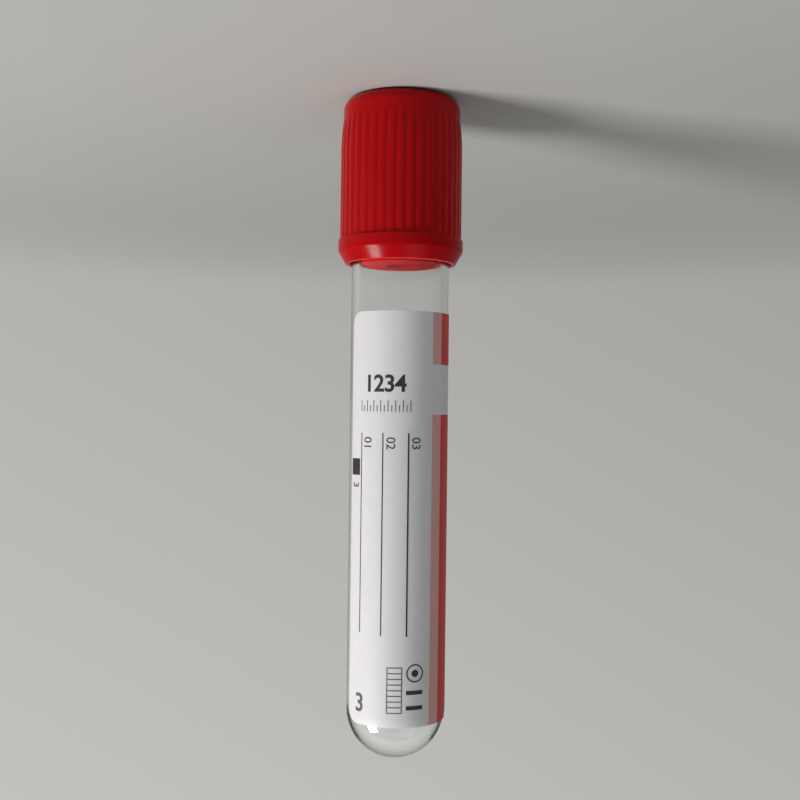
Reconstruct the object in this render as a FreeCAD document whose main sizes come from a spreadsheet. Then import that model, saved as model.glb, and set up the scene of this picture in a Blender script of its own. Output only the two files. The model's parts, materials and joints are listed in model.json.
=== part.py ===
import FreeCAD, Part
import Sketcher
import math
import os
import re

# Blood collection tube: a clear round-bottomed tube, its paper label, and a
# closure made of a hard ribbed cap snapped over a rubber stopper.
#
# Each piece is drawn with its round bottom down: Z runs from the outside of the
# tube's round bottom, at 0, to the top of the cap, and -Y is the label's front.
# Each body is then turned over, because the tube would roll on its side and
# stands only on the flat top of its cap. The label's front stays towards -Y.

DRIVING = [
    # alias, value (mm unless the note says otherwise), note
    ("tube_length", 75.0, "outside of the round bottom to the mouth"),
    ("tube_diameter", 12.6, "outside"),
    ("tube_wall", 0.9, "wall at the mouth"),
    ("tube_floor", 1.6, "wall at the pole of the round bottom"),
    ("bore_draft", 0.15, "how much the bore's radius shrinks down to the bottom"),
    ("mouth_round", 0.3, "rounding of the mouth's outer edge"),
    ("mouth_chamfer", 0.25, "lead-in inside the mouth"),
    ("label_length", 52.0, "along the tube"),
    ("label_wrap", 295.0, "degrees of the tube that the label covers"),
    ("label_start", 66.0, "degrees from the front to the label's left edge"),
    ("label_overhang", 1.1, "how far the label runs on to the round bottom"),
    ("label_thickness", 0.08, "paper"),
    ("label_glue", 0.02, "glue between paper and tube"),
    ("label_corner", 1.8, "corner radius"),
    ("plug_length", 11.6, "stopper below the tube's mouth"),
    ("plug_clearance", 0.04, "radial, plug in bore"),
    ("plug_round", 1.3, "rounding of the plug's lower edge"),
    ("head_height", 8.15, "stopper above the tube's mouth"),
    ("head_clearance", 0.05, "radial, stopper head in cap"),
    ("head_round", 0.3, "rounding of the head's edges"),
    ("septum", 4.5, "rubber that the needle goes through"),
    ("hollow_diameter", 3.6, "blind hollow in the plug"),
    ("hollow_round", 1.2, "rounding of the hollow's end"),
    ("dimple_diameter", 6.4, "dished recess in the stopper's top"),
    ("dimple_depth", 2.4, "depth of that recess"),
    ("cap_skirt", 11.3, "cap below the tube's mouth"),
    ("skirt_clearance", 0.3, "radial, tube in cap"),
    ("cap_wall", 1.0, "wall without its ribs"),
    ("cap_plate", 2.0, "thickness of the cap's top"),
    ("cap_round", 1.55, "rounding of the top edge"),
    ("well_diameter", 8.4, "needle well through the cap's top"),
    ("well_chamfer", 0.4, "chamfer of the well's mouth"),
    ("lip_height", 3.15, "flared lip at the skirt's end"),
    ("lip_ring", 1.45, "the lip's straight upper part, over its taper"),
    ("lip_step", 0.22, "how far the lip stands out past the ribs"),
    ("lip_bend", 1.2, "rounding between the lip's straight part and its taper"),
    ("lip_edge", 0.12, "rounding of the lip's upper edge"),
    ("rim_wall", 0.55, "thickness that the lip tapers to at the skirt's end"),
    ("rim_round", 0.15, "rounding of that end's outer edge"),
    ("rim_chamfer", 0.1, "lead-in inside the skirt"),
    ("rib_count", 40, "grip ribs round the cap"),
    ("rib_height", 0.3, "crest above the wall"),
    ("rib_root", 0.1, "from the cap's bore to a rib's own axis"),
    ("rib_fade", 4.0, "length over which a rib's top end sinks into the wall"),
    ("rib_tail", 0.8, "how far the rib runs on, sunk in the wall"),
    ("plain_band", 2.75, "plain wall between the ribs' ends and the cap's top"),
    ("bead_rise", 2.3, "retaining bead's foot above the tube's mouth"),
    ("bead_height", 0.4, "bead's reach into the stopper's groove"),
    ("bead_width", 1.0, "along the axis, at the cap's wall"),
    ("bead_clearance", 0.08, "gap between bead and groove"),
]

DERIVED = [
    # alias, formula, note
    ("tube_radius", "tube_diameter / 2", "outside, and the round bottom's radius"),
    ("mouth_bore", "tube_radius - tube_wall", "bore radius at the mouth"),
    ("base_bore", "mouth_bore - bore_draft", "bore radius at the round bottom"),
    ("base_bore_z", "tube_floor + base_bore", "centre of the bore's round end"),
    ("bore_slope", "bore_draft / (tube_length - base_bore_z)", "radius per length"),
    ("label_inside", "tube_radius + label_glue", "radius"),
    ("label_outside", "label_inside + label_thickness", "radius"),
    ("label_foot", "tube_radius - label_overhang", "lower edge"),
    ("label_top", "label_foot + label_length", "upper edge"),
    ("plug_end", "tube_length - plug_length", "lower end of the plug"),
    ("plug_radius_top", "mouth_bore - plug_clearance", "at the tube's mouth"),
    ("plug_radius_end", "plug_radius_top - bore_slope * plug_length", "at its end"),
    ("head_top", "tube_length + head_height", "stopper's top, under the cap's top"),
    ("dimple_radius", "dimple_diameter / 2", "at the stopper's top"),
    ("dimple_floor", "head_top - dimple_depth", "lowest point of the recess"),
    ("dimple_dish", "(dimple_radius ^ 2 + dimple_depth ^ 2) / (2 * dimple_depth)",
     "radius of the dished surface"),
    ("hollow_radius", "hollow_diameter / 2", "blind hollow in the plug"),
    ("hollow_top", "dimple_floor - septum", "end of the plug's hollow"),
    ("cap_bore", "tube_radius + skirt_clearance", "inside radius of the cap"),
    ("head_radius", "cap_bore - head_clearance", "stopper's head"),
    ("cap_radius", "cap_bore + cap_wall", "outside radius without the ribs"),
    ("crest_radius", "cap_radius + rib_height", "over the ribs"),
    ("lip_radius", "crest_radius + lip_step", "over the lip"),
    ("cap_top", "head_top + cap_plate", "top face"),
    ("well_radius", "well_diameter / 2", "needle well"),
    ("rim", "tube_length - cap_skirt", "lower end of the skirt"),
    ("lip_top", "rim + lip_height", "upper edge of the lip"),
    ("lip_knee", "lip_top - lip_ring", "where the lip's taper would start with no bend"),
    ("rim_outer", "cap_bore + rim_wall", "radius that the taper ends at"),
    ("lip_slope", "atan((lip_radius - rim_outer) / (lip_knee - rim))", "taper from upright"),
    ("bend_cut", "lip_bend * tan(lip_slope / 2)", "what the bend takes off each side"),
    ("rim_cut", "rim_round * tan((90 deg - lip_slope) / 2)", "the same at the rim"),
    ("rib_axis", "cap_bore + rib_root", "radius of the ribs' own axes"),
    ("rib_radius", "crest_radius - rib_axis", "section radius of a rib"),
    ("rib_shoulder", "cap_top - plain_band - rib_fade", "where a rib starts to sink"),
    ("rib_nose", "(rib_fade ^ 2 + rib_height ^ 2) / (2 * rib_height)", "nose arc"),
    ("rib_end", "rib_shoulder + rib_fade + rib_tail", "the rib's top end"),
    ("rib_sink", "rib_nose - sqrt(rib_nose ^ 2 - (rib_fade + rib_tail) ^ 2)",
     "how much less than the crest's the rib's radius is at that end"),
    ("bead_foot", "tube_length + bead_rise", "lower edge of the bead"),
    ("bead_top", "bead_foot + bead_width", "upper edge of the bead"),
    ("bead_round", "(bead_width ^ 2 / 4 + bead_height ^ 2) / (2 * bead_height)",
     "section radius of the bead"),
    ("groove_round", "bead_round + bead_clearance", "section radius of the groove"),
    ("groove_half", "sqrt(groove_round ^ 2 - (bead_round - bead_height + head_clearance) ^ 2)",
     "half the groove's width at the head's surface"),
    ("groove_middle", "bead_foot + bead_width / 2", "middle of bead and groove"),
]

# How a sketch numbers an edge's two ends, and its own axes.
START, END = 1, 2
H_AXIS, V_AXIS = -1, -2

HALF_TURN = "180"

doc = FreeCAD.newDocument("blood_collection_tube")


def fill_sheet():
    """Writes the driving and derived values, one a row: name, value, note."""
    sheet = doc.addObject("Spreadsheet::Sheet", "Sizes")
    rows = [(alias, str(value), note) for alias, value, note in DRIVING]
    rows += [(alias, "=" + formula, note) for alias, formula, note in DERIVED]
    for row, (alias, content, note) in enumerate(rows, start=1):
        sheet.set("A%d" % row, alias)
        sheet.setAlias("B%d" % row, alias)
        sheet.set("B%d" % row, content)
        sheet.set("C%d" % row, note)
    doc.recompute()
    return sheet


sizes = fill_sheet()
ALIASES = [alias for alias, _, _ in DRIVING + DERIVED]


def bound(formula):
    """The formula with each alias written as a reference to the sheet."""
    def reference(word):
        return "Sizes." + word[0] if word[0] in ALIASES else word[0]
    return re.sub("[a-z_]+", reference, formula)


def number(formula):
    """What the formula comes to now."""
    value = sizes.evalExpression(bound(formula))
    return float(getattr(value, "Value", value))


def new_body(name):
    """An empty body, turned over onto the cap's top with the rest of the tube."""
    body = doc.addObject("PartDesign::Body", name)
    body.Label = name
    turned_over = FreeCAD.Rotation(FreeCAD.Vector(0, 1, 0), 180.0)
    body.Placement = FreeCAD.Placement(FreeCAD.Vector(0, 0, 0), turned_over)
    body.setExpression("Placement.Base.z", bound("cap_top"))
    return body


def origin_part(body, role):
    """The body's own plane or axis of that role."""
    return next(part for part in body.Origin.OriginFeatures if part.Role == role)


def arc_through(start, end, radius):
    """The shorter arc from start to end, with its centre on the left of that way
    for a positive radius, and on the right for a negative one."""
    reach = end - start
    to_left = FreeCAD.Vector(-reach.y, reach.x, 0)
    half = reach.Length / 2
    depth = math.sqrt(max(radius * radius - half * half, 0))
    centre = (start + end) / 2 + to_left.normalize() * math.copysign(depth, radius)
    circle = Part.Circle(centre, FreeCAD.Vector(0, 0, 1), abs(radius))
    first, last = (start, end) if radius > 0 else (end, start)
    return Part.ArcOfCircle(circle, circle.parameter(first), circle.parameter(last))


def constrain(sketch, kind, geometry, value, formula):
    """Adds a constraint whose value follows a formula in the sheet's values."""
    sketch.addConstraint(Sketcher.Constraint(kind, *geometry, value))
    sketch.setExpression("Constraints[%d]" % (sketch.ConstraintCount - 1), formula)


def section(body, name, corners):
    """A closed, fully constrained outline in the body's XZ plane. Each corner is
    (radius, height), or (radius, height, arc) where an arc leads on to the next
    corner, with its centre to the left of the way there, or to the right where
    arc comes to less than nothing. All are formulas in the sheet's values."""
    sketch = body.newObject("Sketcher::SketchObject", name)
    sketch.AttachmentSupport = (origin_part(body, "XZ_Plane"), [""])
    sketch.MapMode = "FlatFace"
    spots = [FreeCAD.Vector(number(corner[0]), number(corner[1]), 0) for corner in corners]
    ends = []
    for index, (corner, start) in enumerate(zip(corners, spots)):
        end = spots[(index + 1) % len(spots)]
        if len(corner) == 2:
            sketch.addGeometry(Part.LineSegment(start, end), False)
            ends.append((START, END))
            continue
        radius = number(corner[2])
        sketch.addGeometry(arc_through(start, end, radius), False)
        ends.append((START, END) if radius > 0 else (END, START))
        constrain(sketch, "Radius", (index,), abs(radius), "abs(%s)" % bound(corner[2]))
    for index, corner in enumerate(corners):
        first = ends[index][0]
        before = (index - 1) % len(corners)
        sketch.addConstraint(Sketcher.Constraint("Coincident", before, ends[before][1],
                                                 index, first))
        for kind, axis, formula in zip(("DistanceX", "DistanceY"), (V_AXIS, H_AXIS), corner):
            if formula == "0":
                sketch.addConstraint(Sketcher.Constraint("PointOnObject", index, first, axis))
            else:
                constrain(sketch, kind, (H_AXIS, START, index, first), number(formula),
                          bound(formula))
    return sketch


def place(sketch, out=None, turn=None):
    """Moves a section out from the body's axis, or turns it clockwise about that
    axis by a number of degrees, seen from above."""
    angle = number(turn) if turn else 0.0
    offset = FreeCAD.Vector(number(out) if out else 0.0, 0, 0)
    spin = FreeCAD.Rotation(FreeCAD.Vector(0, -1, 0), angle)
    sketch.AttachmentOffset = FreeCAD.Placement(offset, spin)
    if out:
        sketch.setExpression("AttachmentOffset.Base.x", bound(out))
    if turn:
        sketch.setExpression("AttachmentOffset.Rotation.Angle", bound(turn))


def turned(body, name, sketch, angle=None):
    """Revolves a section about the body's axis, through a full turn or through
    angle, half to each side of the section."""
    turning = body.newObject("PartDesign::Revolution", name)
    turning.Profile = sketch
    turning.ReferenceAxis = (sketch, ["V_Axis"])
    turning.Angle = 360.0
    if angle:
        turning.Midplane = True
        turning.setExpression("Angle", bound(angle))
    sketch.Visibility = False
    return turning


def make_tube():
    """A straight tube with a hemispherical bottom and a slightly drafted bore."""
    body = new_body("tube")
    turned(body, "tube_wall", section(body, "tube_section", [
        ("0", "0", "tube_radius"),
        ("tube_radius", "tube_radius"),
        ("tube_radius", "tube_length - mouth_round", "mouth_round"),
        ("tube_radius - mouth_round", "tube_length"),
        ("mouth_bore + mouth_chamfer", "tube_length"),
        ("mouth_bore", "tube_length - mouth_chamfer"),
        ("base_bore", "base_bore_z", "-1 * base_bore"),
        ("0", "tube_floor"),
    ]))
    return body


def make_label():
    """A sheet wrapped round the tube, its foot following the round bottom, with
    rounded corners. Its left edge is label_start from the front, which is -Y."""
    body = new_body("label")
    foot_inside = "sqrt(label_inside ^ 2 - label_overhang ^ 2)"
    foot_outside = "sqrt(label_outside ^ 2 - label_overhang ^ 2)"
    outline = section(body, "label_section", [
        (foot_outside, "label_foot", "label_outside"),
        ("label_outside", "tube_radius"),
        ("label_outside", "label_top"),
        ("label_inside", "label_top"),
        ("label_inside", "tube_radius", "-1 * label_inside"),
        (foot_inside, "label_foot"),
    ])
    place(outline, turn="90 - label_wrap / 2 + label_start")
    turned(body, "label_sheet", outline, "label_wrap")
    for edge, way_in, turn in (("left", 1, "label_start"),
                               ("right", -1, "label_start - label_wrap")):
        for end, way_up in (("label_foot", 1), ("label_top", -1)):
            cut_corner(body, "%s_of_%s" % (edge, end), end, way_in, way_up, turn)
    return body


def cut_corner(body, name, end, way_in, way_up, turn):
    """Rounds one corner of the label. The cutter's outline lies in the plane
    through the axis that faces the label's edge: the label runs from x = 0
    towards way_in, and from the height end towards way_up."""
    past = "label_corner / 4"
    arc = "%d * label_corner" % (-way_in * way_up)
    outline = section(body, name, [
        ("%d * %s" % (-way_in, past), "%s - %d * %s" % (end, way_up, past)),
        ("%d * label_corner" % way_in, "%s - %d * %s" % (end, way_up, past)),
        ("%d * label_corner" % way_in, end, arc),
        ("0", "%s + %d * label_corner" % (end, way_up)),
        ("%d * %s" % (-way_in, past), "%s + %d * label_corner" % (end, way_up)),
    ])
    place(outline, turn=turn)
    doc.recompute()
    before = body.Shape.Volume
    cut = body.newObject("PartDesign::Pocket", name + "_cut")
    cut.Profile = outline
    cut.Reversed = True
    cut.setExpression("Length", bound("2 * label_outside"))
    outline.Visibility = False
    doc.recompute()
    if not cut.Shape.Volume < before:
        raise RuntimeError("%s cut nothing" % cut.Name)


def make_stopper():
    """A rubber plug, hollow from below, under a head with a grooved rim and a
    dished top. The head's underside sits on the tube's mouth."""
    body = new_body("stopper")
    turned(body, "stopper_rubber", section(body, "stopper_section", [
        ("hollow_radius", "plug_end"),
        ("plug_radius_end - plug_round", "plug_end", "plug_round"),
        ("plug_radius_end", "plug_end + plug_round"),
        ("plug_radius_top", "tube_length"),
        ("head_radius - head_round", "tube_length", "head_round"),
        ("head_radius", "tube_length + head_round"),
        ("head_radius", "groove_middle - groove_half", "-1 * groove_round"),
        ("head_radius", "groove_middle + groove_half"),
        ("head_radius", "head_top - head_round", "head_round"),
        ("head_radius - head_round", "head_top"),
        ("dimple_radius", "head_top", "-1 * dimple_dish"),
        ("0", "dimple_floor"),
        ("0", "hollow_top"),
        ("hollow_radius - hollow_round", "hollow_top", "-1 * hollow_round"),
        ("hollow_radius", "hollow_top - hollow_round"),
    ]))
    return body


def make_cap():
    """A shell over the stopper and the tube's mouth: a plate with the needle
    well, a skirt with a flared lip that tapers to its rim, and ribs that sink
    into the plain band. A rib is the outer half of a round bar in the wall, and
    meets its neighbours in a shallow valley."""
    body = new_body("cap")
    turned(body, "cap_shell", section(body, "cap_section", [
        ("cap_bore + rim_chamfer", "rim"),
        ("rim_outer - rim_cut", "rim", "rim_round"),
        ("rim_outer + rim_cut * sin(lip_slope)", "rim + rim_cut * cos(lip_slope)"),
        ("lip_radius - bend_cut * sin(lip_slope)", "lip_knee - bend_cut * cos(lip_slope)",
         "lip_bend"),
        ("lip_radius", "lip_knee + bend_cut"),
        ("lip_radius", "lip_top - lip_edge", "lip_edge"),
        ("lip_radius - lip_edge", "lip_top"),
        ("cap_radius", "lip_top"),
        ("cap_radius", "cap_top - cap_round", "cap_round"),
        ("cap_radius - cap_round", "cap_top"),
        ("well_radius + well_chamfer", "cap_top"),
        ("well_radius", "cap_top - well_chamfer"),
        ("well_radius", "head_top"),
        ("cap_bore", "head_top"),
        ("cap_bore", "bead_top", "bead_round"),
        ("cap_bore", "bead_foot"),
        ("cap_bore", "rim + rim_chamfer"),
    ]))
    rib_foot = "lip_top - lip_ring / 2"
    rib_outline = section(body, "rib_section", [
        ("0", rib_foot),
        ("rib_radius", rib_foot),
        ("rib_radius", "rib_shoulder", "rib_nose"),
        ("rib_radius - rib_sink", "rib_end"),
        ("0", "rib_end"),
    ])
    place(rib_outline, out="rib_axis")
    rib = turned(body, "rib", rib_outline, HALF_TURN)
    doc.recompute()
    ribs = body.newObject("PartDesign::PolarPattern", "ribs")
    ribs.Originals = [rib]
    ribs.Axis = (origin_part(body, "Z_Axis"), [""])
    ribs.Angle = 360.0
    ribs.setExpression("Occurrences", bound("rib_count"))
    body.Tip = ribs
    return body


def check(bodies):
    """Stops at a failed object, and at a piece with no valid single solid."""
    for item in doc.Objects:
        if "Invalid" in item.State or "Error" in item.State:
            raise RuntimeError("%s failed: %s" % (item.Name, item.State))
    for body in bodies:
        shape = body.Shape
        if shape.isNull() or not shape.isValid() or len(shape.Solids) != 1:
            raise RuntimeError("%s has no valid solid" % body.Label)


pieces = [make_tube(), make_label(), make_stopper(), make_cap()]
doc.recompute()
check(pieces)
os.makedirs("parts", exist_ok=True)
for piece in pieces:
    piece.Shape.exportStep("parts/%s.step" % piece.Label)
    box = piece.Shape.optimalBoundingBox()
    print("%-8s volume %8.2f mm3  x %.2f..%.2f  y %.2f..%.2f  z %.2f..%.2f" % (
        piece.Label, piece.Shape.Volume, box.XMin, box.XMax, box.YMin, box.YMax,
        box.ZMin, box.ZMax))
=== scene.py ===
import json
import math

import bmesh
import bpy
import numpy as np
from mathutils import Matrix, Vector


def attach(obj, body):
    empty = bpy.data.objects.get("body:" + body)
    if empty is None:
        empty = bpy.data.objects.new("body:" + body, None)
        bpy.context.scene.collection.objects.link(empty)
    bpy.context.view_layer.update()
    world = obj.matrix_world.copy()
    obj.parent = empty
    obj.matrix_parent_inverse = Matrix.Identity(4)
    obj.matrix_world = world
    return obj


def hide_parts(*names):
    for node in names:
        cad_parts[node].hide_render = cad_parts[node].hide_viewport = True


# Blood collection tube: a clear round-bottomed tube with a wrapped paper label,
# closed by a red ribbed cap over a rubber stopper. It stands on its cap.
#
# The object's sizes are in millimetres. A place on the tube is given as if its
# round bottom were down: by its distance from the axis, its angle from the
# label's front towards the stripe, and its height above the round bottom. lay()
# turns these into the row frame.

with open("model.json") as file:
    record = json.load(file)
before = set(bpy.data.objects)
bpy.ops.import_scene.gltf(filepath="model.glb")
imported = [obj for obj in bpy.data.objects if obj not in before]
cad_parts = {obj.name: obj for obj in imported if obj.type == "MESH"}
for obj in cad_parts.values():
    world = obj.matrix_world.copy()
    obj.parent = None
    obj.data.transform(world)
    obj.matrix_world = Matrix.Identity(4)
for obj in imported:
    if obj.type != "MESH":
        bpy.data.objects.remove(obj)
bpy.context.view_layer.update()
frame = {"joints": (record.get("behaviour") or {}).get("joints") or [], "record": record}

MM = 0.001
mounts = {mount["name"]: mount for mount in frame["record"]["mounts"]}

# The tube's own directions in the row frame: from its round bottom towards the
# cap, out of the label's front, and across that front towards the stripe.
UP = -np.array(frame["joints"][0]["axis"], float)
ACROSS = np.array((-1.0, 0.0, 0.0))
FRONT = np.cross(ACROSS, UP)

# The tube and its label.
LABEL_THICKNESS = 0.08
GLUE = 0.02
LABEL_RADIUS = mounts["barrel"]["dims"]["r_mm"]
LABEL_INSIDE = LABEL_RADIUS - LABEL_THICKNESS
TUBE_RADIUS = LABEL_INSIDE - GLUE
STRAIGHT = mounts["barrel"]["dims"]["length_mm"]
DOME_CENTRE = np.array(mounts["barrel"]["pos_m"]) - UP * STRAIGHT / 2 * MM
BASE = DOME_CENTRE - UP * TUBE_RADIUS * MM
LABEL_TOP = TUBE_RADIUS + STRAIGHT
LABEL_OVERHANG = 1.1
LABEL_FOOT = TUBE_RADIUS - LABEL_OVERHANG
LABEL_LEFT = math.radians(-66)
LABEL_RIGHT = math.radians(229)
LABEL_CORNER = 1.8
WALL = 0.9
FLOOR = 1.6
BORE_DRAFT = 0.15
MOUTH_ROUND = 0.3
MOUTH_LEAD_IN = 0.25


def height(mount):
    """A mount's height above the round bottom, along the axis."""
    return float((np.array(mounts[mount]["pos_m"]) - BASE) @ UP) / MM


# The closure.
WELL_RADIUS = mounts["needle_well"]["dims"]["r_mm"]
HEAD_TOP = height("needle_well") - mounts["needle_well"]["dims"]["length_mm"] / 2
CAP_TOP = height("cap_top")
LIP_RADIUS = mounts["lip"]["dims"]["r_mm"]
LIP_EDGE = 0.12
LIP_TOP = height("lip") + mounts["lip"]["dims"]["length_mm"] / 2 + LIP_EDGE
LIP_HEIGHT = 3.15
LIP_RING = 1.45
LIP_BEND = 1.2
LIP_STEP = 0.22
RIM = LIP_TOP - LIP_HEIGHT
RIM_WALL = 0.55
RIM_ROUND = 0.15
RIM_LEAD_IN = 0.1
RIB_COUNT = 40
RIB_HEIGHT = 0.3
RIB_ROOT = 0.1
RIB_FADE = 4.0
RIB_TAIL = 0.8
PLAIN_BAND = 2.75
CREST_RADIUS = LIP_RADIUS - LIP_STEP
CAP_RADIUS = CREST_RADIUS - RIB_HEIGHT
CAP_WALL = 1.0
CAP_BORE = CAP_RADIUS - CAP_WALL
RIB_AXIS = CAP_BORE + RIB_ROOT
RIB_RADIUS = CREST_RADIUS - RIB_AXIS
CAP_ROUND = 1.55
WELL_ROUND = 0.4
HEAD_HEIGHT = 8.15
HEAD_ROUND = 0.3
MOUTH = HEAD_TOP - HEAD_HEIGHT
PLUG_LENGTH = 11.6
PLUG_CLEARANCE = 0.04
HEAD_CLEARANCE = 0.05
PLUG_ROUND = 1.3
HOLLOW_RADIUS = 1.8
HOLLOW_ROUND = 1.2
DIMPLE_RADIUS = 3.2
DIMPLE_DEPTH = 2.4
SEPTUM = 4.5
HOLLOW_TOP = HEAD_TOP - DIMPLE_DEPTH - SEPTUM
BEAD_FOOT = MOUTH + 2.3
BEAD_WIDTH = 1.0
BEAD_HEIGHT = 0.4
BEAD_CLEARANCE = 0.08

# How finely the meshes are cut: steps in a full turn and across one rib, the
# longest runs of a section's straight parts, and the turn of one step of an arc.
ROUND_STEPS = 192
STEPS_PER_RIB = 12
TUBE_RUN = 4.0
STOPPER_RUN = 1.0
CAP_RUN = 0.45
ARC_STEP = math.radians(7)

# Edges that turn by more than this stay sharp. Points closer than this, in
# metres, are merged. Lengths this close, in millimetres, count as equal.
SHARP = math.radians(38)
MERGE = 1e-8
NEARLY = 1e-6


def lay(radius, angle, height_up):
    """Row-frame points: out from the axis by radius, turned by angle from the
    front towards the stripe, and along the axis by height_up."""
    radius, angle, height_up = (value[..., None] for value in np.broadcast_arrays(
        np.asarray(radius, float), angle, height_up))
    out = radius * (np.sin(angle) * ACROSS + np.cos(angle) * FRONT)
    return BASE + MM * (out + height_up * UP)


def outline(corners, closed):
    """A section from its corners, each (radius, height) or (radius, height,
    rounding). A rounded corner is an arc tangent to its two sides: it begins
    rounding / tan(half the corner's angle) before the corner, and its points
    turn about the arc's centre in equal steps from one side to the other."""
    spots = np.array([corner[:2] for corner in corners], float)
    count = len(corners)
    stretches = []
    for index, corner in enumerate(corners):
        spot = spots[index]
        at_end = not closed and index in (0, count - 1)
        if len(corner) == 2 or at_end:
            stretches.append(spot[None])
            continue
        back, on = spots[index - 1] - spot, spots[(index + 1) % count] - spot
        back, on = back / np.linalg.norm(back), on / np.linalg.norm(on)
        half = math.acos(np.clip(back @ on, -1, 1)) / 2
        cut, reach = corner[2] / math.tan(half), corner[2] / math.sin(half)
        middle = spot + (back + on) / np.linalg.norm(back + on) * reach
        first, last = spot + back * cut - middle, spot + on * cut - middle
        sweep = math.pi - 2 * half
        share = np.linspace(0, 1, max(3, math.ceil(sweep / ARC_STEP) + 1))[:, None]
        arc = (np.sin((1 - share) * sweep) * first + np.sin(share * sweep) * last)
        stretches.append(middle + arc / math.sin(sweep))
    return np.vstack(stretches)


def filled(section, spacing):
    """The section with points added on each straight run longer than spacing."""
    ahead = np.roll(section, -1, axis=0)
    runs = np.maximum(1, np.ceil(np.linalg.norm(ahead - section, axis=1) / spacing))
    runs[-1] = 1
    runs = runs.astype(int)
    share = np.concatenate([np.arange(run) / run for run in runs])[:, None]
    return np.repeat(section, runs, 0) * (1 - share) + np.repeat(ahead, runs, 0) * share


def skin(grid, rows_close=True, section_closes=True):
    """A mesh over a grid of points: a section carried in rows. Rows that don't
    close are capped, each end by quads between the section's two halves."""
    rows, section = grid.shape[:2]
    index = np.arange(rows * section).reshape(rows, section)
    caps = []
    if not rows_close:
        half = section // 2
        for end in index[0], index[-1]:
            back = end[::-1][:half]
            front = end[:half]
            caps.append(np.stack((front[:-1], front[1:], back[1:], back[:-1]), -1))
    if rows_close:
        index = np.vstack((index, index[:1]))
    if section_closes:
        index = np.hstack((index, index[:, :1]))
    quads = np.stack((index[:-1, :-1], index[:-1, 1:], index[1:, 1:], index[1:, :-1]), -1)
    quads = np.vstack([quads.reshape(-1, 4)] + caps)
    mesh = bpy.data.meshes.new("skin")
    mesh.from_pydata(grid.reshape(-1, 3), [], quads)
    return mesh


def full_turn(steps):
    """Equal angles once round, one to a row."""
    return np.arange(steps)[:, None] * (2 * math.pi / steps)


def turned(section):
    """A section that begins and ends on the axis, carried round it: lay(radius,
    angle, height) at equal angles."""
    radius, up = section.T
    return skin(lay(radius, full_turn(ROUND_STEPS), up), section_closes=False)


def piece(name, meshes, material, body, node=None):
    """Joins meshes into one finished object: doubles merged, faces turned
    outwards, smooth but for its sharp edges, and riding on a body."""
    joined = bmesh.new()
    for mesh in meshes:
        joined.from_mesh(mesh)
        bpy.data.meshes.remove(mesh)
    bmesh.ops.remove_doubles(joined, verts=joined.verts, dist=MERGE)
    bmesh.ops.recalc_face_normals(joined, faces=joined.faces)
    mesh = bpy.data.meshes.new(name)
    joined.to_mesh(mesh)
    joined.free()
    mesh.shade_smooth()
    mesh.set_sharp_from_angle(angle=SHARP)
    mesh.materials.append(material)
    made = bpy.data.objects.new(name, mesh)
    bpy.context.scene.collection.objects.link(made)
    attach(made, body)
    if node:
        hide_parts(node)


# Materials

class Finish:
    """A material with one Principled shader, and short ways to add nodes to it."""

    def __init__(self, name, **settings):
        self.material = bpy.data.materials.new(name)
        self.material.use_nodes = True
        self.tree = self.material.node_tree
        self.shader = self.tree.nodes["Principled BSDF"]
        for socket, value in settings.items():
            self.shader.inputs[socket.replace("_", " ")].default_value = value
        self.place = self.add("ShaderNodeTexCoord").outputs["Object"]

    def add(self, kind, links=None, values=None, **settings):
        """A new node with its settings, socket values and incoming links."""
        node = self.tree.nodes.new(kind)
        for key, value in settings.items():
            setattr(node, key, value)
        for key, value in (values or {}).items():
            node.inputs[key].default_value = value
        for key, source in (links or {}).items():
            self.tree.links.new(source, node.inputs[key])
        return node

    def noise(self, size, detail=2.0, stretch=(1, 1, 1)):
        """Noise whose lumps are about size millimetres across. They are longer
        in the directions where stretch is less than 1."""
        scale = [part / (size * MM) for part in stretch]
        mapped = self.add("ShaderNodeMapping", {"Vector": self.place}, {"Scale": scale})
        return self.add("ShaderNodeTexNoise", {"Vector": mapped.outputs[0]},
                        {"Scale": 1.0, "Detail": detail}).outputs["Fac"]

    def spread(self, source, low, high, start=0.3, end=0.7):
        """Maps a pattern's start to end onto low to high."""
        return self.add("ShaderNodeMapRange", {"Value": source},
                        {"From Min": start, "From Max": end, "To Min": low,
                         "To Max": high}).outputs["Result"]

    def tint(self, source, low, high):
        """Mixes two colours by a pattern and paints the shader with it."""
        mix = self.add("ShaderNodeMix", {"Factor": source}, data_type="RGBA")
        mix.inputs[6].default_value = (*low, 1)
        mix.inputs[7].default_value = (*high, 1)
        self.tree.links.new(mix.outputs[2], self.shader.inputs["Base Color"])

    def rough(self, source, low, high):
        """Varies the shader's roughness by a pattern."""
        self.tree.links.new(self.spread(source, low, high),
                            self.shader.inputs["Roughness"])

    def bump(self, *layers):
        """Raises the surface by patterns, each with its height in millimetres."""
        normal = None
        for source, rise in layers:
            links = {"Height": source}
            if normal:
                links["Normal"] = normal
            normal = self.add("ShaderNodeBump", links,
                              {"Strength": 1.0, "Distance": rise * MM}).outputs["Normal"]
        self.tree.links.new(normal, self.shader.inputs["Normal"])


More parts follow.
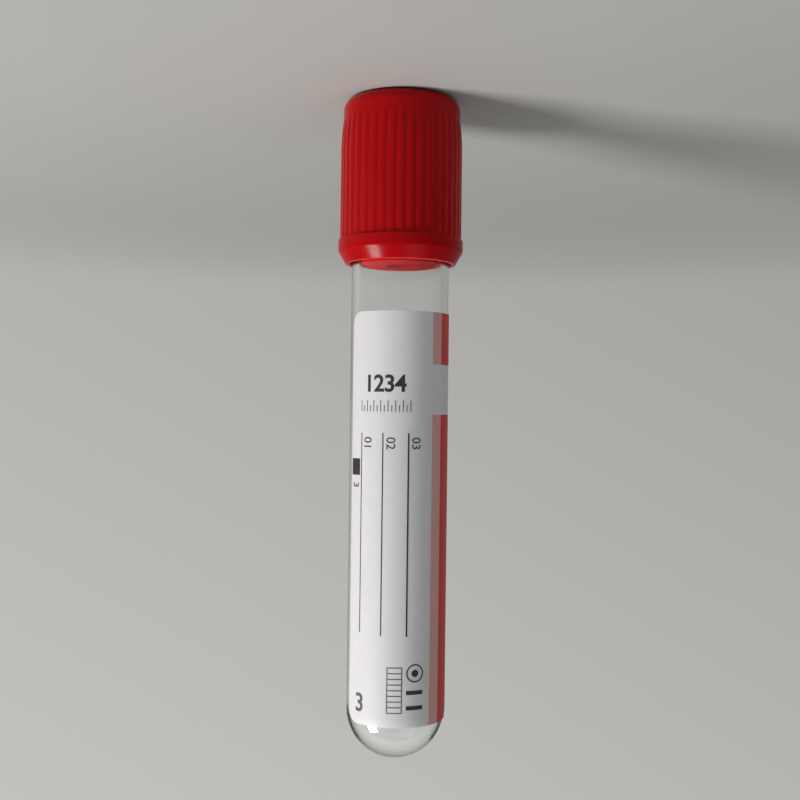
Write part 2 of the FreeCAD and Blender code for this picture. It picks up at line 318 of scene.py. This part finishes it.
def clear_plastic():
    """Polished clear plastic with a faint cool tint and slow waves from the
    mould. Light from the lamps passes straight through to what is behind."""
    finish = Finish("clear_plastic", Transmission_Weight=1.0, IOR=1.5)
    waves = finish.noise(9.0, 1.0, stretch=(1, 0.35, 1))
    finish.tint(waves, (0.955, 0.975, 0.968), (0.975, 0.985, 0.98))
    finish.rough(finish.noise(3.0), 0.015, 0.04)
    finish.bump((waves, 0.012))
    path = finish.add("ShaderNodeLightPath")
    through = finish.add("ShaderNodeBsdfTransparent", values={"Color": (0.9, 0.92, 0.91, 1)})
    mix = finish.add("ShaderNodeMixShader", {"Fac": path.outputs["Is Shadow Ray"]})
    finish.tree.links.new(finish.shader.outputs[0], mix.inputs[1])
    finish.tree.links.new(through.outputs[0], mix.inputs[2])
    out = finish.tree.nodes["Material Output"]
    finish.tree.links.new(mix.outputs[0], out.inputs["Surface"])
    return finish.material


def red_plastic():
    """Moulded red plastic with a satin shine: the colour drifts a little, and
    the skin has the mould's fine grain over slow sink marks."""
    finish = Finish("red_plastic", Specular_IOR_Level=0.10, Subsurface_Weight=0.4,
                    Subsurface_Scale=0.0015, Subsurface_Radius=(1.0, 0.08, 0.08))
    finish.tint(finish.noise(5.0, 3.0), (0.39, 0.001, 0.0025), (0.45, 0.002, 0.004))
    grain = finish.noise(0.22, 3.0)
    finish.rough(finish.noise(1.2), 0.18, 0.24)
    finish.bump((finish.noise(3.5, 1.0), 0.045), (finish.noise(1.2, 1.0), 0.008),
                (grain, 0.002))
    return finish.material


def red_rubber():
    """Dull red rubber with a little bloom."""
    finish = Finish("red_rubber", Specular_IOR_Level=0.0)
    finish.tint(finish.noise(1.5, 4.0), (0.27, 0.001, 0.002), (0.32, 0.002, 0.004))
    finish.rough(finish.noise(0.8), 0.5, 0.6)
    finish.bump((finish.noise(0.35, 3.0), 0.006))
    return finish.material


def paper_fibres(finish):
    """The fine fibres of the paper."""
    return finish.noise(0.16, 4.0, stretch=(1, 0.3, 1))


def label_paper():
    """White coated paper: faint clouds in its colour, fine fibres, and a slight
    pull over the glue."""
    finish = Finish("label_paper", IOR=1.45, Sheen_Weight=0.05)
    fibres = paper_fibres(finish)
    finish.tint(finish.noise(1.6, 5.0), (0.74, 0.722, 0.752), (0.80, 0.781, 0.808))
    finish.rough(fibres, 0.42, 0.56)
    finish.bump((finish.noise(4.0, 1.0), 0.01), (fibres, 0.004))
    return finish.material


def ink(name, low, high):
    """Printing ink: a thin film that shows the paper's fibres."""
    finish = Finish(name, IOR=1.45)
    fibres = paper_fibres(finish)
    finish.tint(finish.noise(0.5, 4.0), low, high)
    finish.rough(fibres, 0.36, 0.5)
    finish.bump((fibres, 0.004))
    return finish.material


# The tube

def make_tube():
    """Turned from a section that runs from the outer pole up the wall, over the
    mouth and down the slightly narrowing bore to the inner pole. The bore leans,
    so the rounding of its end is a little short of its radius, not to run past
    the axis."""
    bore = TUBE_RADIUS - WALL
    base_bore = bore - BORE_DRAFT
    base_round = 0.99 * base_bore
    section = outline([
        (0, 0),
        (TUBE_RADIUS, 0, TUBE_RADIUS),
        (TUBE_RADIUS, MOUTH, MOUTH_ROUND),
        (bore, MOUTH, MOUTH_LEAD_IN),
        (base_bore, FLOOR, base_round),
        (0, FLOOR),
    ], closed=False)
    piece("tube_wall", [turned(filled(section, TUBE_RUN))], clear_plastic(),
          "barrel", "tube")


# The label

def make_label():
    """A sheet wrapped round the tube. At a distance s in from its nearer side
    edge, closer than the corner radius c, its upper and lower edges draw in by
    c - sqrt(c^2 - (c - s)^2). Below the tube's straight part it follows the
    round bottom: radius = sqrt(r^2 - depth^2)."""
    corner_points, wrap_points, foot_points, upper_points = 12, 120, 16, 24
    foot_share = 0.06
    swing = np.linspace(0, math.pi / 2, corner_points)[1:]
    corner = LABEL_CORNER / LABEL_RADIUS * (1 - np.cos(swing))
    middle = np.linspace(LABEL_LEFT + corner[-1], LABEL_RIGHT - corner[-1], wrap_points)
    angle = np.concatenate(([LABEL_LEFT], LABEL_LEFT + corner[:-1], middle,
                            (LABEL_RIGHT - corner[:-1])[::-1], [LABEL_RIGHT]))[:, None]
    edge = np.minimum(angle - LABEL_LEFT, LABEL_RIGHT - angle) * LABEL_RADIUS
    short = LABEL_CORNER - np.minimum(edge, LABEL_CORNER)
    drawn_in = LABEL_CORNER - np.sqrt(LABEL_CORNER ** 2 - short ** 2)
    share = np.concatenate((np.linspace(0, foot_share, foot_points)[:-1],
                            np.linspace(foot_share, 1, upper_points)))
    foot, top = LABEL_FOOT + drawn_in, LABEL_TOP - drawn_in
    up_front = foot + share * (top - foot)
    depth = np.maximum(TUBE_RADIUS - up_front, 0)
    front = np.sqrt(LABEL_RADIUS ** 2 - depth ** 2)
    back = np.sqrt(LABEL_INSIDE ** 2 - depth ** 2)
    radius = np.hstack((front, back[:, ::-1]))
    up = np.hstack((up_front, up_front[:, ::-1]))
    sheet = skin(lay(radius, angle, up), rows_close=False)
    piece("label_sheet", [sheet], label_paper(), "barrel", "label")


# The print: thin films of ink, their undersides just inside the paper.

INK_TOP = LABEL_RADIUS + 0.025
INK_UNDER = LABEL_RADIUS - 0.02
PATCH_STEP = math.radians(3)
PATCH_ROWS = 40
RING_STEPS = 64
DISC_STEPS = 32
SMALL_NUMERAL = 1.6


def degrees(millimetres):
    """How many degrees a length across the label takes up."""
    return math.degrees(millimetres / LABEL_RADIUS)


def patch(left, right, low, high):
    """A rectangle of ink between two angles in degrees and two heights. It
    follows the round bottom below the tube's straight part."""
    left, right = math.radians(left), math.radians(right)
    across = np.linspace(left, right, math.ceil((right - left) / PATCH_STEP) + 1)
    up = np.linspace(low, high, PATCH_ROWS if low < TUBE_RADIUS else 2)[:, None]
    depth = np.maximum(TUBE_RADIUS - up, 0)
    angle = np.concatenate((across, across[::-1]))
    film = np.repeat((INK_TOP, INK_UNDER), len(across))
    return skin(lay(np.sqrt(film ** 2 - depth ** 2), angle, up), rows_close=False)


def line(middle, width, low, high):
    """A line of ink along the tube, centred at an angle in degrees."""
    half = degrees(width) / 2
    return patch(middle - half, middle + half, low, high)


def ring(middle, up, radius, width):
    """A round line of ink: a flat section of the line's width carried round a
    circle, which is centred at an angle in degrees and a height."""
    turn = full_turn(RING_STEPS)
    reach = radius + np.array((-0.5, 0.5, 0.5, -0.5)) * width
    film = np.array((INK_TOP, INK_TOP, INK_UNDER, INK_UNDER))
    angle = math.radians(middle) + reach * np.sin(turn) / LABEL_RADIUS
    return skin(lay(film, angle, up + reach * np.cos(turn)))


def disc(middle, up, radius):
    """A round spot of ink: rings of points from its middle out and back under."""
    turn = full_turn(DISC_STEPS)
    reach = np.array((0, radius, radius, 0))
    film = np.array((INK_TOP, INK_TOP, INK_UNDER, INK_UNDER))
    angle = math.radians(middle) + reach * np.sin(turn) / LABEL_RADIUS
    return skin(lay(film, angle, up + reach * np.cos(turn)), section_closes=False)


def numerals(text, middle, up, size, bold=0.0, spacing=1.0, downward=False):
    """Plain numerals centred at an angle in degrees and a height. They are made
    flat, cut into narrow strips, and bent round the label: across becomes angle
    times radius. Downward ones are turned a quarter turn clockwise."""
    strip = 0.25
    nearly = strip / 1000
    letters = bpy.data.curves.new("numerals", "FONT")
    letters.body = text
    letters.size = size
    letters.extrude = (INK_TOP - INK_UNDER) / 2
    letters.offset = bold
    letters.space_character = spacing
    letters.align_x = "CENTER"
    letters.align_y = "CENTER"
    flat = bpy.data.objects.new("numerals", letters)
    bpy.context.scene.collection.objects.link(flat)
    graph = bpy.context.evaluated_depsgraph_get()
    mesh = bpy.data.meshes.new_from_object(flat.evaluated_get(graph))
    bpy.data.objects.remove(flat)
    bpy.data.curves.remove(letters)
    strips = bmesh.new()
    strips.from_mesh(mesh)
    bmesh.ops.remove_doubles(strips, verts=strips.verts, dist=nearly)
    across = Vector((0, 1, 0)) if downward else Vector((1, 0, 0))
    for place in np.arange(-size * 2, size * 2, strip):
        everything = strips.verts[:] + strips.edges[:] + strips.faces[:]
        bmesh.ops.bisect_plane(strips, geom=everything, plane_co=across * place,
                               plane_no=across)
    strips.to_mesh(mesh)
    strips.free()
    points = np.empty(len(mesh.vertices) * 3)
    mesh.vertices.foreach_get("co", points)
    x, y, out = points.reshape(-1, 3).T
    if downward:
        x, y = y, -x
    film = (INK_TOP + INK_UNDER) / 2 + out
    bent = lay(film, math.radians(middle) + x / LABEL_RADIUS, up + y)
    mesh.vertices.foreach_set("co", bent.ravel())
    return mesh


# The stripe's gap runs between two heights, and each of its bands between two
# angles in degrees. The ruled lines are at angles in degrees, up to a height.
STRIPE_GAP = (44.24, 50.62)
PALE_BAND = (41.8, 56.5)
RED_BAND = (56.5, 104.0)
RULES = (-45.6, -17.3, 11.85)
RULE_TOP = 41.87


def make_stripe():
    """Two fields side by side down the label's right, with one gap in them."""
    runs = ((LABEL_FOOT, STRIPE_GAP[0]), (STRIPE_GAP[1], LABEL_TOP))
    for name, (left, right), colours in (
            ("print_pale_band", PALE_BAND, ((0.70, 0.37, 0.35), (0.76, 0.42, 0.40))),
            ("print_red_band", RED_BAND, ((0.66, 0.042, 0.036), (0.73, 0.052, 0.045)))):
        piece(name, [patch(left, right, low, high) for low, high in runs],
              ink(name, *colours), "barrel")


def make_writing_lines(dark):
    """Three ruled lines to write on, each with its numeral at the top right."""
    feet = (16.74, 16.58, 16.53)
    widths = (0.12, 0.14, 0.19)
    beside, below = degrees(0.95), 1.3
    marks = []
    for number, (middle, foot, width) in enumerate(zip(RULES, feet, widths), start=1):
        marks.append(line(middle, width, foot, RULE_TOP))
        marks.append(numerals("0%d" % number, middle + beside, RULE_TOP - below,
                              SMALL_NUMERAL, downward=True))
    piece("print_writing_lines", marks, dark, "barrel")


def make_fill_mark(dark):
    """The block that shows how far the tube fills, at the label's left edge."""
    left, right, low, high = -63.8, -48.2, 36.50, 38.58
    middle, below = -55.7, 1.25
    marks = [patch(left, right, low, high),
             numerals("3", middle, low - below, SMALL_NUMERAL, downward=True)]
    piece("print_fill_mark", marks, dark, "barrel")


def make_heading(dark, grey):
    """Bold numerals over a row of fine ticks, every other one short."""
    middle, up, size = -16.5, 47.97, 2.95
    heading = numerals("1234", middle, up, size, bold=0.06, spacing=0.95)
    piece("print_heading", [heading], dark, "barrel")
    first, last, count = -46.1, 13.8, 15
    width, foot, tall, short = 0.1, 44.55, 1.4, 0.8
    ticks = []
    for number, middle in enumerate(np.linspace(first, last, count)):
        rise = tall if number % 2 == 0 else short
        ticks.append(line(middle, width, foot, foot + rise))
    piece("print_ticks", ticks, grey, "barrel")


def make_foot_marks(dark, grey):
    """Near the label's foot: the volume's numeral, a narrow box of cells, a
    ring with a spot in it and two short bars."""
    middle, up, size = -44.8, 7.84, 3.2
    piece("print_volume", [numerals("3", middle, up, size, bold=0.05)], grey,
          "barrel")
    left, right, low, high = -9.9, 7.5, 6.99, 12.72
    width, rungs = 0.11, 9
    side = degrees(width)
    box = [patch(left, left + side, low, high), patch(right - side, right, low, high)]
    for up in np.linspace(low, high - width, rungs):
        box.append(patch(left + side, right - side, up, up + width))
    piece("print_box", box, grey, "barrel")
    middle, up = 22.4, 11.95
    marks = [ring(middle, up, radius=1.06, width=0.16), disc(middle, up, radius=0.45)]
    left, right, thick = 12.2, 32.0, 0.5
    for low in (7.4, 9.3):
        marks.append(patch(left, right, low, low + thick))
    piece("print_marks", marks, dark, "barrel")


# The closure

def greater(first, second):
    """The greater of two lengths, eased where they cross."""
    ease = 0.03
    return (first + second + np.sqrt((first - second) ** 2 + ease ** 2)) / 2


def ribbed(radius, angle, up):
    """The cap's outside radius where its wall has ribs. A rib is a round bar of
    radius q set into the wall, so it reaches a cos(d) + sqrt(q^2 - a^2 sin^2 d)
    from the cap's axis, where a is the bar's own distance from it and d the
    angle from the bar's middle. Past the shoulder q shrinks with the square of
    the way, until a little past the place where the ribs go under the wall. The
    greatest of the wall and the two nearest ribs is taken."""
    pitch = 2 * math.pi / RIB_COUNT
    shoulder = CAP_TOP - PLAIN_BAND - RIB_FADE
    past = np.clip((up - shoulder) / RIB_FADE, 0, 1 + RIB_TAIL / RIB_FADE)
    bar = RIB_RADIUS - RIB_HEIGHT * past ** 2

    def reach(off):
        side = RIB_AXIS * np.sin(off)
        return RIB_AXIS * np.cos(off) + np.sqrt(np.maximum(bar ** 2 - side ** 2, 0))

    off = np.abs((angle + pitch / 2) % pitch - pitch / 2)
    crests = greater(reach(off), reach(pitch - off))
    return np.maximum(greater(radius, crests), radius)


def make_cap():
    """A closed section carried round the axis, with the ribs added to its radius
    between the lip and the plain band."""
    inside_round, well_foot_round, bead_round = 0.15, 0.1, 0.3
    section = outline([
        (CAP_BORE, RIM + RIM_LEAD_IN),
        (CAP_BORE + RIM_LEAD_IN, RIM),
        (CAP_BORE + RIM_WALL, RIM, RIM_ROUND),
        (LIP_RADIUS, LIP_TOP - LIP_RING, LIP_BEND),
        (LIP_RADIUS, LIP_TOP, LIP_EDGE),
        (CAP_RADIUS, LIP_TOP, LIP_EDGE),
        (CAP_RADIUS, CAP_TOP, CAP_ROUND),
        (WELL_RADIUS, CAP_TOP, WELL_ROUND),
        (WELL_RADIUS, HEAD_TOP, well_foot_round),
        (CAP_BORE, HEAD_TOP, inside_round),
        (CAP_BORE, BEAD_FOOT + BEAD_WIDTH, inside_round),
        (CAP_BORE - BEAD_HEIGHT, BEAD_FOOT + BEAD_WIDTH / 2, bead_round),
        (CAP_BORE, BEAD_FOOT, inside_round),
    ], closed=True)
    radius, up = filled(section, CAP_RUN).T
    angle = full_turn(RIB_COUNT * STEPS_PER_RIB)
    outside = (radius >= CAP_RADIUS - NEARLY) & (up > LIP_TOP - NEARLY)
    radius = np.where(outside, ribbed(radius, angle, up), radius)
    cap = skin(lay(radius, angle, up))
    piece("cap_shell", [cap], red_plastic(), "closure", "cap")


def make_stopper():
    """Turned from a section that runs from the hollow's roof on the axis, down
    and round the plug, up the grooved head and in over its dished top."""
    bore = TUBE_RADIUS - WALL
    plug_top = bore - PLUG_CLEARANCE
    plug_end = MOUTH - PLUG_LENGTH
    slope = BORE_DRAFT / (MOUTH - FLOOR - bore + BORE_DRAFT)
    plug_low = plug_top - slope * PLUG_LENGTH
    head = CAP_BORE - HEAD_CLEARANCE
    groove = BEAD_HEIGHT - HEAD_CLEARANCE + BEAD_CLEARANCE
    groove_half = 0.62
    middle = BEAD_FOOT + BEAD_WIDTH / 2
    dimple_floor = 0.62 * DIMPLE_RADIUS
    hollow_edge, inner_corner = 0.25, 0.1
    groove_edge, groove_round = 0.12, 0.35
    dimple_edge, dimple_round = 0.2, 1.6
    section = outline([
        (0, HOLLOW_TOP),
        (HOLLOW_RADIUS, HOLLOW_TOP, HOLLOW_ROUND),
        (HOLLOW_RADIUS, plug_end, hollow_edge),
        (plug_low, plug_end, PLUG_ROUND),
        (plug_top, MOUTH, inner_corner),
        (head, MOUTH, HEAD_ROUND),
        (head, middle - groove_half, groove_edge),
        (head - groove, middle, groove_round),
        (head, middle + groove_half, groove_edge),
        (head, HEAD_TOP, HEAD_ROUND),
        (DIMPLE_RADIUS, HEAD_TOP, dimple_edge),
        (dimple_floor, HEAD_TOP - DIMPLE_DEPTH, dimple_round),
        (0, HEAD_TOP - DIMPLE_DEPTH),
    ], closed=False)
    piece("stopper_rubber", [turned(filled(section, STOPPER_RUN))], red_rubber(),
          "closure", "stopper")


make_tube()
make_label()
make_stripe()
dark_ink = ink("dark_ink", (0.030, 0.028, 0.029), (0.05, 0.047, 0.048))
grey_ink = ink("grey_ink", (0.10, 0.10, 0.10), (0.15, 0.15, 0.15))
make_writing_lines(dark_ink)
make_fill_mark(dark_ink)
make_heading(dark_ink, grey_ink)
make_foot_marks(dark_ink, grey_ink)
make_cap()
make_stopper()


# The room: a pale floor in a pale surround, soft light, and the camera. The
# surround that the camera sees is painted brighter upwards and towards the window
# lamp's side. Its sizes are in metres.


def seen_straight(tree):
    """1 for a ray that comes from the camera, or through clear plastic."""
    path = tree.nodes.new("ShaderNodeLightPath")
    either = tree.nodes.new("ShaderNodeMath")
    either.operation = "MAXIMUM"
    tree.links.new(path.outputs["Is Camera Ray"], either.inputs[0])
    tree.links.new(path.outputs["Is Transmission Ray"], either.inputs[1])
    return either.outputs[0]


def make_floor():
    """A pale matt sheet. With the distance r from the tube it clears for the
    camera, so that no horizon shows: share = smooth step of r, near to far."""
    near, far = 0.04, 0.24
    side = 3.0
    finish = Finish("floor_sheet", IOR=1.4)
    finish.tint(finish.noise(60.0), (0.44, 0.43, 0.41), (0.48, 0.47, 0.45))
    finish.rough(finish.noise(8.0), 0.6, 0.75)
    finish.bump((finish.noise(0.8, 3.0), 0.01))
    away = finish.add("ShaderNodeVectorMath", {0: finish.place}, operation="LENGTH")
    fade = finish.add("ShaderNodeMapRange", {"Value": away.outputs["Value"]},
                      {"From Min": near, "From Max": far},
                      interpolation_type="SMOOTHSTEP")
    share = finish.add("ShaderNodeMath", {0: fade.outputs["Result"],
                                          1: seen_straight(finish.tree)}, operation="MULTIPLY")
    clear = finish.add("ShaderNodeBsdfTransparent")
    mix = finish.add("ShaderNodeMixShader", {"Fac": share.outputs[0]})
    finish.tree.links.new(finish.shader.outputs[0], mix.inputs[1])
    finish.tree.links.new(clear.outputs[0], mix.inputs[2])
    out = finish.tree.nodes["Material Output"]
    finish.tree.links.new(mix.outputs[0], out.inputs["Surface"])
    x, y = np.meshgrid((-side, side), (-side, side))
    corners = np.stack((x, y, np.zeros_like(x)), -1).reshape(-1, 3)
    mesh = bpy.data.meshes.new("floor_sheet")
    mesh.from_pydata(corners, [], [(0, 1, 3, 2)])
    mesh.materials.append(finish.material)
    floor = bpy.data.objects.new("floor_sheet", mesh)
    bpy.context.scene.collection.objects.link(floor)


def make_lamp(name, place, size, power, colour):
    """A rectangular soft lamp that faces the middle of the tube."""
    aim = Vector(BASE + UP * CAP_TOP / 2 * MM)
    light = bpy.data.lights.new(name, "AREA")
    light.shape = "RECTANGLE"
    light.size, light.size_y = size
    light.energy = power
    light.color = colour
    lamp = bpy.data.objects.new(name, light)
    lamp.location = place
    lamp.visible_camera = False
    lamp.rotation_mode = "QUATERNION"
    lamp.rotation_quaternion = (Vector(place) - aim).to_track_quat("Z", "Y")
    bpy.context.scene.collection.objects.link(lamp)


def make_world():
    """Even light from all round, and the surround that the camera sees. Both
    brighten slowly from the floor up: strength = middle + way . rise. The seen
    surround's slope, upwards and towards the window lamp's side, is painted
    light and shade on the backdrop."""
    world = bpy.data.worlds.new("room")
    world.use_nodes = True
    tree = world.node_tree
    way = tree.nodes.new("ShaderNodeTexCoord").outputs["Generated"]

    def surround(ground, colour, middle, rise):
        side = tree.nodes.new("ShaderNodeVectorMath")
        side.operation = "DOT_PRODUCT"
        side.inputs[1].default_value = rise
        strength = tree.nodes.new("ShaderNodeMath")
        strength.operation = "ADD"
        strength.inputs[1].default_value = middle
        tree.links.new(way, side.inputs[0])
        tree.links.new(side.outputs["Value"], strength.inputs[0])
        tree.links.new(strength.outputs[0], ground.inputs["Strength"])
        ground.inputs["Color"].default_value = colour

    light = tree.nodes["Background"]
    surround(light, colour=(0.97, 1.0, 0.985, 1), middle=0.20, rise=(0.02, 0.06, 0.10))
    seen = tree.nodes.new("ShaderNodeBackground")
    # Painted light and shade on the backdrop: the seen surround is brighter towards the window
    # lamp's side and upwards.
    surround(seen, colour=(1.0, 0.98, 0.95, 1), middle=0.45, rise=(0.12, -0.01, 0.22))
    mix = tree.nodes.new("ShaderNodeMixShader")
    tree.links.new(seen_straight(tree), mix.inputs["Fac"])
    tree.links.new(light.outputs[0], mix.inputs[1])
    tree.links.new(seen.outputs[0], mix.inputs[2])
    tree.links.new(mix.outputs[0], tree.nodes["World Output"].inputs["Surface"])
    bpy.context.scene.world = world


def make_camera():
    """Faces the label from close by with the cap uppermost, leaning and turned
    slightly. It takes in seen_width at the tube's axis, which is reach away."""
    reach = 0.150
    seen_width = 0.1042
    level, sideways = 46.1 * MM, 0.17 * MM
    over = BASE + level * UP
    lean = math.radians(-0.76)
    roll = math.radians(0.7)
    back = math.cos(lean) * FRONT + math.sin(lean) * UP
    along = math.cos(lean) * UP - math.sin(lean) * FRONT
    right = math.cos(roll) * ACROSS + math.sin(roll) * along
    top = math.cos(roll) * along - math.sin(roll) * ACROSS
    camera = bpy.data.cameras.new("camera")
    camera.sensor_width = 36.0
    camera.lens = camera.sensor_width * reach / seen_width
    camera.clip_start, camera.clip_end = 0.01, 20.0
    made = bpy.data.objects.new("camera", camera)
    made.rotation_mode = "QUATERNION"
    made.rotation_quaternion = Matrix(np.column_stack((right, top, back))).to_quaternion()
    made.location = over + reach * back + sideways * ACROSS
    bpy.context.scene.collection.objects.link(made)
    bpy.context.scene.camera = made


make_floor()
make_lamp("window", place=(0.24, -0.13, 0.27), size=(0.12, 0.12), power=1.15,
          colour=(1.0, 0.985, 0.97))
make_lamp("fill", place=(-0.14, -0.20, 0.28), size=(0.20, 0.20), power=0.10,
          colour=(0.97, 1.0, 0.99))
make_world()
make_camera()

scene = bpy.context.scene
scene.view_settings.view_transform = "Standard"
